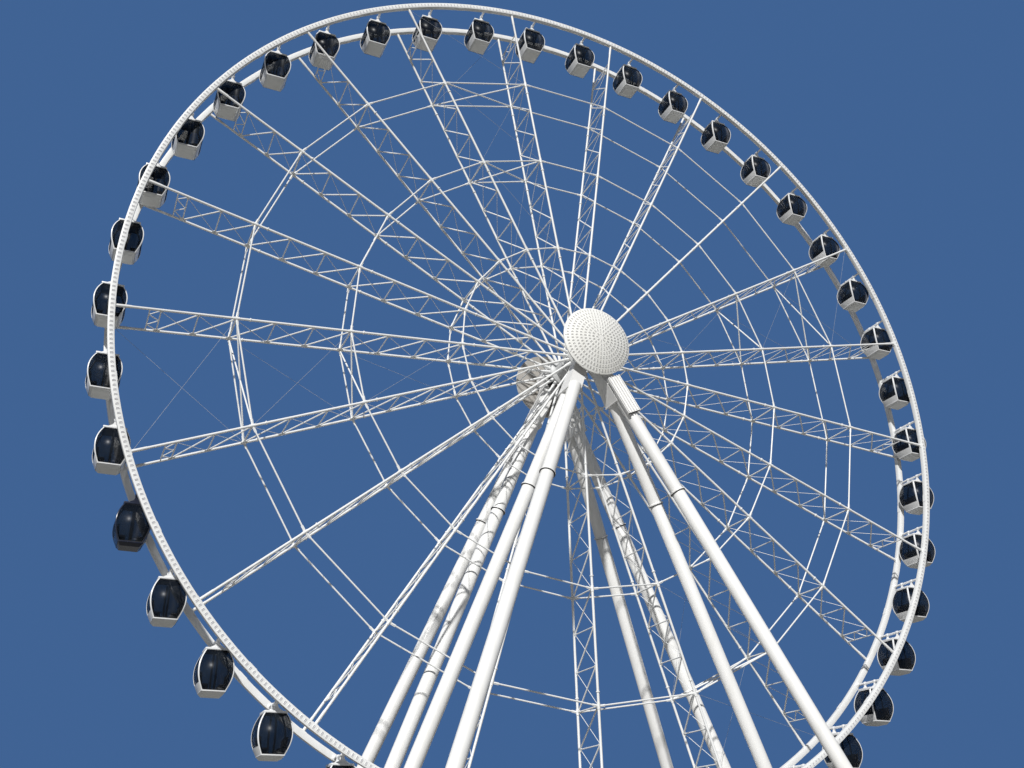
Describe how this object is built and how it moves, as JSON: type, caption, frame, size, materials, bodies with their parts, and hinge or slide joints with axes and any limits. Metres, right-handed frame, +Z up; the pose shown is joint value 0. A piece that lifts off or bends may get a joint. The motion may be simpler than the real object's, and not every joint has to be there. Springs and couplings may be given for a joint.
{
  "type": "ferris wheel, 1:2 scale model",
  "caption": "Large fairground observation wheel with trussed spokes, closed hanging cabins that stay level, and splayed round legs.",
  "frame": {"origin": "on the ground under the middle of the hub", "axes": "+Z up; +Y along the axle from the front to the rear; +X to the right seen from the front"},
  "size_m": [27.3636, 9.85, 28.495],
  "materials": {
    "frame_white": "semi-gloss white paint",
    "wheel_white": "semi-gloss white paint",
    "hub_steel": "satin light grey paint",
    "cabin_shell": "gloss white shell with dark glass",
    "cabin_dark": "gloss black shell with dark glass"
  },
  "bodies": {
    "frame": {"front_head": "frame_white", "rear_head": "frame_white", "front_left_legs": "frame_white", "front_right_legs": "frame_white", "rear_left_legs": "frame_white", "rear_right_legs": "frame_white"},
    "wheel": {"hub_drum": "hub_steel", "front_rim": "wheel_white", "rear_rim": "wheel_white", "spokes_a": "wheel_white", "spokes_b": "wheel_white", "spokes_c": "wheel_white", "spokes_d": "wheel_white", "spokes_e": "wheel_white", "spokes_f": "wheel_white", "spokes_g": "wheel_white", "spokes_h": "wheel_white"},
    "cabin_01": {"cabin_01": "cabin_shell"},
    "cabin_02": {"cabin_02": "cabin_shell"},
    "cabin_03": {"cabin_03": "cabin_shell"},
    "cabin_04": {"cabin_04": "cabin_shell"},
    "cabin_05": {"cabin_05": "cabin_shell"},
    "cabin_06": {"cabin_06": "cabin_shell"},
    "cabin_07": {"cabin_07": "cabin_shell"},
    "cabin_08": {"cabin_08": "cabin_shell"},
    "cabin_09": {"cabin_09": "cabin_shell"},
    "cabin_10": {"cabin_10": "cabin_shell"},
    "cabin_11": {"cabin_11": "cabin_shell"},
    "cabin_12": {"cabin_12": "cabin_shell"},
    "cabin_13": {"cabin_13": "cabin_shell"},
    "cabin_14": {"cabin_14": "cabin_shell"},
    "cabin_15": {"cabin_15": "cabin_shell"},
    "cabin_16": {"cabin_16": "cabin_shell"},
    "cabin_17": {"cabin_17": "cabin_shell"},
    "cabin_18": {"cabin_18": "cabin_shell"},
    "cabin_19": {"cabin_19": "cabin_shell"},
    "cabin_20": {"cabin_20": "cabin_shell"},
    "cabin_21": {"cabin_21": "cabin_shell"},
    "cabin_22": {"cabin_22": "cabin_shell"},
    "cabin_23": {"cabin_23": "cabin_dark"},
    "cabin_24": {"cabin_24": "cabin_shell"},
    "cabin_25": {"cabin_25": "cabin_shell"},
    "cabin_26": {"cabin_26": "cabin_shell"},
    "cabin_27": {"cabin_27": "cabin_shell"},
    "cabin_28": {"cabin_28": "cabin_shell"},
    "cabin_29": {"cabin_29": "cabin_shell"},
    "cabin_30": {"cabin_30": "cabin_shell"},
    "cabin_31": {"cabin_31": "cabin_shell"},
    "cabin_32": {"cabin_32": "cabin_shell"},
    "cabin_33": {"cabin_33": "cabin_shell"},
    "cabin_34": {"cabin_34": "cabin_shell"},
    "cabin_35": {"cabin_35": "cabin_shell"},
    "cabin_36": {"cabin_36": "cabin_shell"},
    "cabin_37": {"cabin_37": "cabin_shell"},
    "cabin_38": {"cabin_38": "cabin_shell"},
    "cabin_39": {"cabin_39": "cabin_shell"},
    "cabin_40": {"cabin_40": "cabin_shell"},
    "cabin_41": {"cabin_41": "cabin_shell"},
    "cabin_42": {"cabin_42": "cabin_shell"}
  },
  "joints": [
    {"name": "wheel_turn", "type": "hinge", "parent": "frame", "child": "wheel", "pos_m": [0, 0, 15.15], "axis": [0, 1, 0], "continuous": true},
    {"name": "cabin_01_pivot", "type": "hinge", "parent": "wheel", "child": "cabin_01", "pos_m": [12.64505, 0, 19.19083], "axis": [0, 1, 0], "continuous": true},
    {"name": "cabin_02_pivot", "type": "hinge", "parent": "wheel", "child": "cabin_02", "pos_m": [11.90156, 0, 21.03035], "axis": [0, 1, 0], "continuous": true},
    {"name": "cabin_03_pivot", "type": "hinge", "parent": "wheel", "child": "cabin_03", "pos_m": [10.89221, 0, 22.7385], "axis": [0, 1, 0], "continuous": true},
    {"name": "cabin_04_pivot", "type": "hinge", "parent": "wheel", "child": "cabin_04", "pos_m": [9.63955, 0, 24.27715], "axis": [0, 1, 0], "continuous": true},
    {"name": "cabin_05_pivot", "type": "hinge", "parent": "wheel", "child": "cabin_05", "pos_m": [8.17155, 0, 25.6119], "axis": [0, 1, 0], "continuous": true},
    {"name": "cabin_06_pivot", "type": "hinge", "parent": "wheel", "child": "cabin_06", "pos_m": [6.52101, 0, 26.71296], "axis": [0, 1, 0], "continuous": true},
    {"name": "cabin_07_pivot", "type": "hinge", "parent": "wheel", "child": "cabin_07", "pos_m": [4.72481, 0, 27.55572], "axis": [0, 1, 0], "continuous": true},
    {"name": "cabin_08_pivot", "type": "hinge", "parent": "wheel", "child": "cabin_08", "pos_m": [2.82306, 0, 28.12135], "axis": [0, 1, 0], "continuous": true},
    {"name": "cabin_09_pivot", "type": "hinge", "parent": "wheel", "child": "cabin_09", "pos_m": [0.85825, 0, 28.39723], "axis": [0, 1, 0], "continuous": true},
    {"name": "cabin_10_pivot", "type": "hinge", "parent": "wheel", "child": "cabin_10", "pos_m": [-1.12573, 0, 28.37718], "axis": [0, 1, 0], "continuous": true},
    {"name": "cabin_11_pivot", "type": "hinge", "parent": "wheel", "child": "cabin_11", "pos_m": [-3.08457, 0, 28.06166], "axis": [0, 1, 0], "continuous": true},
    {"name": "cabin_12_pivot", "type": "hinge", "parent": "wheel", "child": "cabin_12", "pos_m": [-4.9745, 0, 27.45772], "axis": [0, 1, 0], "continuous": true},
    {"name": "cabin_13_pivot", "type": "hinge", "parent": "wheel", "child": "cabin_13", "pos_m": [-6.75331, 0, 26.57884], "axis": [0, 1, 0], "continuous": true},
    {"name": "cabin_14_pivot", "type": "hinge", "parent": "wheel", "child": "cabin_14", "pos_m": [-8.38126, 0, 25.44466], "axis": [0, 1, 0], "continuous": true},
    {"name": "cabin_15_pivot", "type": "hinge", "parent": "wheel", "child": "cabin_15", "pos_m": [-9.82199, 0, 24.08052], "axis": [0, 1, 0], "continuous": true},
    {"name": "cabin_16_pivot", "type": "hinge", "parent": "wheel", "child": "cabin_16", "pos_m": [-11.04331, 0, 22.51688], "axis": [0, 1, 0], "continuous": true},
    {"name": "cabin_17_pivot", "type": "hinge", "parent": "wheel", "child": "cabin_17", "pos_m": [-12.01794, 0, 20.78868], "axis": [0, 1, 0], "continuous": true},
    {"name": "cabin_18_pivot", "type": "hinge", "parent": "wheel", "child": "cabin_18", "pos_m": [-12.72411, 0, 18.93452], "axis": [0, 1, 0], "continuous": true},
    {"name": "cabin_19_pivot", "type": "hinge", "parent": "wheel", "child": "cabin_19", "pos_m": [-13.14605, 0, 16.99582], "axis": [0, 1, 0], "continuous": true},
    {"name": "cabin_20_pivot", "type": "hinge", "parent": "wheel", "child": "cabin_20", "pos_m": [-13.27432, 0, 15.01589], "axis": [0, 1, 0], "continuous": true},
    {"name": "cabin_21_pivot", "type": "hinge", "parent": "wheel", "child": "cabin_21", "pos_m": [-13.10607, 0, 13.03895], "axis": [0, 1, 0], "continuous": true},
    {"name": "cabin_22_pivot", "type": "hinge", "parent": "wheel", "child": "cabin_22", "pos_m": [-12.64505, 0, 11.10917], "axis": [0, 1, 0], "continuous": true},
    {"name": "cabin_23_pivot", "type": "hinge", "parent": "wheel", "child": "cabin_23", "pos_m": [-11.90156, 0, 9.26965], "axis": [0, 1, 0], "continuous": true},
    {"name": "cabin_24_pivot", "type": "hinge", "parent": "wheel", "child": "cabin_24", "pos_m": [-10.89221, 0, 7.5615], "axis": [0, 1, 0], "continuous": true},
    {"name": "cabin_25_pivot", "type": "hinge", "parent": "wheel", "child": "cabin_25", "pos_m": [-9.63955, 0, 6.02285], "axis": [0, 1, 0], "continuous": true},
    {"name": "cabin_26_pivot", "type": "hinge", "parent": "wheel", "child": "cabin_26", "pos_m": [-8.17155, 0, 4.6881], "axis": [0, 1, 0], "continuous": true},
    {"name": "cabin_27_pivot", "type": "hinge", "parent": "wheel", "child": "cabin_27", "pos_m": [-6.52101, 0, 3.58704], "axis": [0, 1, 0], "continuous": true},
    {"name": "cabin_28_pivot", "type": "hinge", "parent": "wheel", "child": "cabin_28", "pos_m": [-4.72481, 0, 2.74428], "axis": [0, 1, 0], "continuous": true},
    {"name": "cabin_29_pivot", "type": "hinge", "parent": "wheel", "child": "cabin_29", "pos_m": [-2.82306, 0, 2.17865], "axis": [0, 1, 0], "continuous": true},
    {"name": "cabin_30_pivot", "type": "hinge", "parent": "wheel", "child": "cabin_30", "pos_m": [-0.85825, 0, 1.90277], "axis": [0, 1, 0], "continuous": true},
    {"name": "cabin_31_pivot", "type": "hinge", "parent": "wheel", "child": "cabin_31", "pos_m": [1.12573, 0, 1.92282], "axis": [0, 1, 0], "continuous": true},
    {"name": "cabin_32_pivot", "type": "hinge", "parent": "wheel", "child": "cabin_32", "pos_m": [3.08457, 0, 2.23834], "axis": [0, 1, 0], "continuous": true},
    {"name": "cabin_33_pivot", "type": "hinge", "parent": "wheel", "child": "cabin_33", "pos_m": [4.9745, 0, 2.84228], "axis": [0, 1, 0], "continuous": true},
    {"name": "cabin_34_pivot", "type": "hinge", "parent": "wheel", "child": "cabin_34", "pos_m": [6.75331, 0, 3.72116], "axis": [0, 1, 0], "continuous": true},
    {"name": "cabin_35_pivot", "type": "hinge", "parent": "wheel", "child": "cabin_35", "pos_m": [8.38126, 0, 4.85534], "axis": [0, 1, 0], "continuous": true},
    {"name": "cabin_36_pivot", "type": "hinge", "parent": "wheel", "child": "cabin_36", "pos_m": [9.82199, 0, 6.21948], "axis": [0, 1, 0], "continuous": true},
    {"name": "cabin_37_pivot", "type": "hinge", "parent": "wheel", "child": "cabin_37", "pos_m": [11.04331, 0, 7.78312], "axis": [0, 1, 0], "continuous": true},
    {"name": "cabin_38_pivot", "type": "hinge", "parent": "wheel", "child": "cabin_38", "pos_m": [12.01794, 0, 9.51132], "axis": [0, 1, 0], "continuous": true},
    {"name": "cabin_39_pivot", "type": "hinge", "parent": "wheel", "child": "cabin_39", "pos_m": [12.72411, 0, 11.36548], "axis": [0, 1, 0], "continuous": true},
    {"name": "cabin_40_pivot", "type": "hinge", "parent": "wheel", "child": "cabin_40", "pos_m": [13.14605, 0, 13.30418], "axis": [0, 1, 0], "continuous": true},
    {"name": "cabin_41_pivot", "type": "hinge", "parent": "wheel", "child": "cabin_41", "pos_m": [13.27432, 0, 15.28411], "axis": [0, 1, 0], "continuous": true},
    {"name": "cabin_42_pivot", "type": "hinge", "parent": "wheel", "child": "cabin_42", "pos_m": [13.10607, 0, 17.26105], "axis": [0, 1, 0], "continuous": true}
  ],
  "couplings": [
    {"joint": "cabin_01_pivot", "follows": "wheel_turn", "ratio": -1},
    {"joint": "cabin_02_pivot", "follows": "wheel_turn", "ratio": -1},
    {"joint": "cabin_03_pivot", "follows": "wheel_turn", "ratio": -1},
    {"joint": "cabin_04_pivot", "follows": "wheel_turn", "ratio": -1},
    {"joint": "cabin_05_pivot", "follows": "wheel_turn", "ratio": -1},
    {"joint": "cabin_06_pivot", "follows": "wheel_turn", "ratio": -1},
    {"joint": "cabin_07_pivot", "follows": "wheel_turn", "ratio": -1},
    {"joint": "cabin_08_pivot", "follows": "wheel_turn", "ratio": -1},
    {"joint": "cabin_09_pivot", "follows": "wheel_turn", "ratio": -1},
    {"joint": "cabin_10_pivot", "follows": "wheel_turn", "ratio": -1},
    {"joint": "cabin_11_pivot", "follows": "wheel_turn", "ratio": -1},
    {"joint": "cabin_12_pivot", "follows": "wheel_turn", "ratio": -1},
    {"joint": "cabin_13_pivot", "follows": "wheel_turn", "ratio": -1},
    {"joint": "cabin_14_pivot", "follows": "wheel_turn", "ratio": -1},
    {"joint": "cabin_15_pivot", "follows": "wheel_turn", "ratio": -1},
    {"joint": "cabin_16_pivot", "follows": "wheel_turn", "ratio": -1},
    {"joint": "cabin_17_pivot", "follows": "wheel_turn", "ratio": -1},
    {"joint": "cabin_18_pivot", "follows": "wheel_turn", "ratio": -1},
    {"joint": "cabin_19_pivot", "follows": "wheel_turn", "ratio": -1},
    {"joint": "cabin_20_pivot", "follows": "wheel_turn", "ratio": -1},
    {"joint": "cabin_21_pivot", "follows": "wheel_turn", "ratio": -1},
    {"joint": "cabin_22_pivot", "follows": "wheel_turn", "ratio": -1},
    {"joint": "cabin_23_pivot", "follows": "wheel_turn", "ratio": -1},
    {"joint": "cabin_24_pivot", "follows": "wheel_turn", "ratio": -1},
    {"joint": "cabin_25_pivot", "follows": "wheel_turn", "ratio": -1},
    {"joint": "cabin_26_pivot", "follows": "wheel_turn", "ratio": -1},
    {"joint": "cabin_27_pivot", "follows": "wheel_turn", "ratio": -1},
    {"joint": "cabin_28_pivot", "follows": "wheel_turn", "ratio": -1},
    {"joint": "cabin_29_pivot", "follows": "wheel_turn", "ratio": -1},
    {"joint": "cabin_30_pivot", "follows": "wheel_turn", "ratio": -1},
    {"joint": "cabin_31_pivot", "follows": "wheel_turn", "ratio": -1},
    {"joint": "cabin_32_pivot", "follows": "wheel_turn", "ratio": -1},
    {"joint": "cabin_33_pivot", "follows": "wheel_turn", "ratio": -1},
    {"joint": "cabin_34_pivot", "follows": "wheel_turn", "ratio": -1},
    {"joint": "cabin_35_pivot", "follows": "wheel_turn", "ratio": -1},
    {"joint": "cabin_36_pivot", "follows": "wheel_turn", "ratio": -1},
    {"joint": "cabin_37_pivot", "follows": "wheel_turn", "ratio": -1},
    {"joint": "cabin_38_pivot", "follows": "wheel_turn", "ratio": -1},
    {"joint": "cabin_39_pivot", "follows": "wheel_turn", "ratio": -1},
    {"joint": "cabin_40_pivot", "follows": "wheel_turn", "ratio": -1},
    {"joint": "cabin_41_pivot", "follows": "wheel_turn", "ratio": -1},
    {"joint": "cabin_42_pivot", "follows": "wheel_turn", "ratio": -1}
  ]
}
